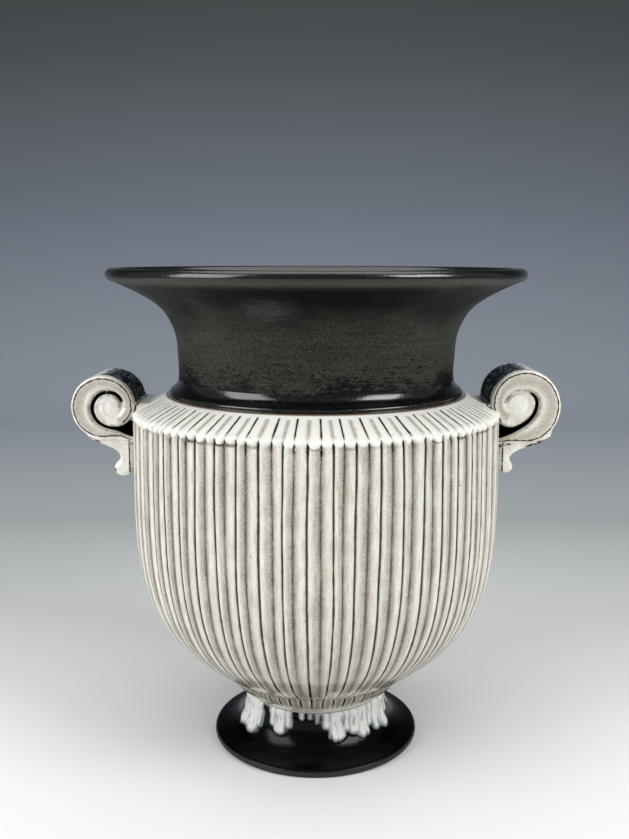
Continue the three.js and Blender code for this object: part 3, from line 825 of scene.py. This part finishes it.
# The black on top of the scrolls: dull, with blue-grey and white left in flecks along it
wornTop, t = newMaterial("mottledBlackOnScrolls")
spot = put(t, "TexCoord").outputs["Object"]
drawnOut = put(t, "VectorMath", (spot, (1 / (2.4 * mm), 1 / (5 * mm), 1 / (2.4 * mm))), operation="MULTIPLY")
flecks = put(t, "TexNoise", (drawnOut, None, 1.0, 4.0, 0.7)).outputs["Fac"]
lumps = put(t, "TexNoise", (spot, None, 1 / (6 * mm), 4.0, 0.65)).outputs["Fac"]
mottle = coats(t, linear("#0b0d0f"), ("#3c474f", (lumps, 0.44, 0.62)), ("#98a3a8", (flecks, 0.53, 0.64)))
relief = put(t, "Math", (flecks, lumps), operation="ADD")
finish(t, mottle, 0.6, relief, 0.3, IOR=1.5, Specular_IOR_Level=0.02)

# Down in the groove a dull black: its dark sides, with painted shade down in it
hollowBlack, t = newMaterial("blackShadedHollow")
finish(t, linear("#050505"), 0.9, 0.0, 0.0, IOR=1.5, Specular_IOR_Level=0.05)


# Bowl, neck and foot become one closed wall. This finds an open edge ring by its place
def ringLoop(ob, radius, height, reach=0.9):
    mesh = ob.data
    count = np.zeros(len(mesh.edges), dtype=int)
    loopEdges = np.empty(len(mesh.loops), dtype=int)
    mesh.loops.foreach_get("edge_index", loopEdges)
    np.add.at(count, loopEdges, 1)
    co = getPoints(ob) / mm
    ends = np.empty(len(mesh.edges) * 2, dtype=int)
    mesh.edges.foreach_get("vertices", ends)
    ends = ends.reshape(-1, 2)
    flat = np.column_stack([np.hypot(co[:, 0], co[:, 1]) - radius, co[:, 2] - height])
    near = np.hypot(flat[:, 0], flat[:, 1]) < reach
    return np.nonzero((count == 1) & near[ends[:, 0]] & near[ends[:, 1]])[0]


for ob in (kraterBowl, kraterNeck, kraterFoot):
    for poly in ob.data.polygons:
        poly.use_smooth = True
for ob, mat in ((kraterBowl, whiteGlaze), (kraterNeck, blackSatin), (kraterFoot, blackGloss)):
    ob.data.materials.append(mat)
kraterNeck.data.materials.append(pooledBlack)
for poly in kraterNeck.data.polygons:
    x, y, z = poly.center / mm
    onCollar = z < neck["glossBelow"] and math.hypot(x, y) > neck["collarRadius"]
    inside = poly.normal.x * x + poly.normal.y * y < 0
    if z > neck["glossAbove"] or onCollar or inside:
        poly.material_index = 1
selectOnly(kraterBowl, kraterNeck, kraterFoot)
bpy.ops.object.join()
kraterVase = bpy.context.object
kraterVase.name = kraterVase.data.name = "kraterVase"
for radius, height in (foot["joint"], bowl["collarJoint"]):
    chosen = ringLoop(kraterVase, radius, height)
    bpy.ops.object.mode_set(mode="EDIT")
    bpy.ops.mesh.select_mode(type="EDGE")
    bpy.ops.mesh.select_all(action="DESELECT")
    bpy.ops.object.mode_set(mode="OBJECT")
    for k in chosen:
        kraterVase.data.edges[k].select = True
    bpy.ops.object.mode_set(mode="EDIT")
    bpy.ops.mesh.bridge_edge_loops()
    bpy.ops.object.mode_set(mode="OBJECT")
    print("stage: joint at", height, "mm closed with", len(chosen), "edges")
bpy.ops.object.mode_set(mode="EDIT")
bpy.ops.mesh.select_all(action="SELECT")
bpy.ops.mesh.normals_make_consistent(inside=False)
bpy.ops.object.mode_set(mode="OBJECT")
bpy.ops.object.shade_smooth()


for ob in (leftScroll, rightScroll):
    ob.data.materials.clear()
    ob.data.materials.append(scrollGlaze)
    ob.data.materials.append(hollowBlack)
    ob.data.materials.append(wornTop)
    for k in hollowFaces[ob.name]:
        ob.data.polygons[k].material_index = 1
    for k in topFaces[ob.name]:
        ob.data.polygons[k].material_index = 2
for ob in (kraterVase, leftScroll, rightScroll):
    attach(ob, "root")
    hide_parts("krater_vase")
print("stage: glazes on")

# Stage: a pale sweep, soft lights, and the camera
stage = {"depth": 1.15, "round": 0.45, "wide": 6.0, "high": 3.2}
selectNothing()
bpy.ops.mesh.primitive_plane_add(size=1, location=(0, 0, 0))
sweep = bpy.context.object
sweep.name = sweep.data.name = "paleSweep"
bpy.ops.object.mode_set(mode="EDIT")
bpy.ops.mesh.select_all(action="SELECT")
bpy.ops.transform.resize(value=(stage["wide"], stage["depth"] + 3.0, 1))
bpy.ops.transform.translate(value=(0, stage["depth"] / 2 - 1.5, 0))
bpy.ops.mesh.select_mode(type="EDGE")
bpy.ops.mesh.select_all(action="DESELECT")
bpy.ops.object.mode_set(mode="OBJECT")
for edge in sweep.data.edges:
    ends = [sweep.data.vertices[k].co.y for k in edge.vertices]
    edge.select = min(ends) > stage["depth"] - 0.01
bpy.ops.object.mode_set(mode="EDIT")
last = (0.0, 0.0)
for k in range(1, 13):
    a = k / 12 * math.pi / 2
    here = (stage["round"] * math.sin(a), stage["round"] * (1 - math.cos(a)))
    step = (0, here[0] - last[0], here[1] - last[1])
    bpy.ops.mesh.extrude_region_move(TRANSFORM_OT_translate={"value": step})
    last = here
bpy.ops.mesh.extrude_region_move(TRANSFORM_OT_translate={"value": (0, 0, stage["high"])})
bpy.ops.object.mode_set(mode="OBJECT")
bpy.ops.object.shade_smooth()
paper, t = newMaterial("paleSweepDarkerUpward")
spot = put(t, "SeparateXYZ", (put(t, "TexCoord").outputs["Object"],))
backward = put(t, "Math", (spot.outputs[1], 0.35), operation="MULTIPLY")
upPaper = put(t, "Math", (spot.outputs[2], backward), operation="ADD")
# the sweep's tone goes from pale on the floor to dark grey up the back, set stop by stop
fade = put(t, "ValToRGB", (put(t, "MapRange", {"Value": upPaper, "From Min": -0.1, "From Max": 1.6}),))
ramp = fade.color_ramp
ramp.elements[0].position, ramp.elements[0].color = 0.0, linear("#d9dbda")
ramp.elements[1].position, ramp.elements[1].color = 1.0, linear("#2c2e2f")
for place, tone in (
        (0.06, "#dcdedd"), (0.1, "#bdbfbe"), (0.16, "#969b9c"), (0.303, "#949ca6"),
        (0.617, "#6e7580"), (0.821, "#4a4e50")):
    ramp.elements.new(place).color = linear(tone)
finish(t, fade, 0.85, 0.0, 0.0)
sweep.data.materials.append(paper)

lights = {
    "left": {"at": (-1.2, -0.68, 0.85), "size": (0.9, 1.1), "watts": 18.5, "aim": (0, 0, 0.15)},
    "right": {"at": (1.15, -0.74, 1.05), "size": (0.8, 0.7), "watts": 18.5, "aim": (0, 0, 0.15)},
    "overhead": {"at": (0, 0.1, 1.6), "size": (1.8, 1.4), "watts": 18, "aim": (0, 0.05, 0)},
}
for label, lamp in lights.items():
    bpy.ops.object.light_add(type="AREA", location=lamp["at"])
    ob = bpy.context.object
    ob.name = label + "Softbox"
    ob.data.shape = "RECTANGLE"
    ob.data.size, ob.data.size_y = lamp["size"]
    ob.data.energy = lamp["watts"]
    toward = [b - a for a, b in zip(lamp["at"], lamp["aim"])]
    flat = math.hypot(toward[0], toward[1])
    ob.rotation_euler = (math.atan2(flat, -toward[2]), 0, math.atan2(-toward[0], toward[1]))
world = bpy.data.worlds.new("studioAir")
world.use_nodes = True
world.node_tree.nodes["Background"].inputs[0].default_value = linear("#d5d8dc")
world.node_tree.nodes["Background"].inputs[1].default_value = 0.3
bpy.context.scene.world = world

camera = {"at": (0, -0.5811, 0.3065), "down": 9.816, "roll": -0.1, "focalPx": 940, "shiftX": -1.8 / 839}
bpy.ops.object.camera_add(location=camera["at"])
eyePoint = bpy.context.object
eyePoint.rotation_euler = (math.radians(90 - camera["down"]), math.radians(camera["roll"]), 0)
eyePoint.data.sensor_width = 36
eyePoint.data.lens = camera["focalPx"] * 36 / 839
eyePoint.data.shift_x = camera["shiftX"]
eyePoint.data.clip_end = 30
bpy.context.scene.camera = eyePoint
bpy.context.scene.view_settings.view_transform = "Standard"

print("stage: done")
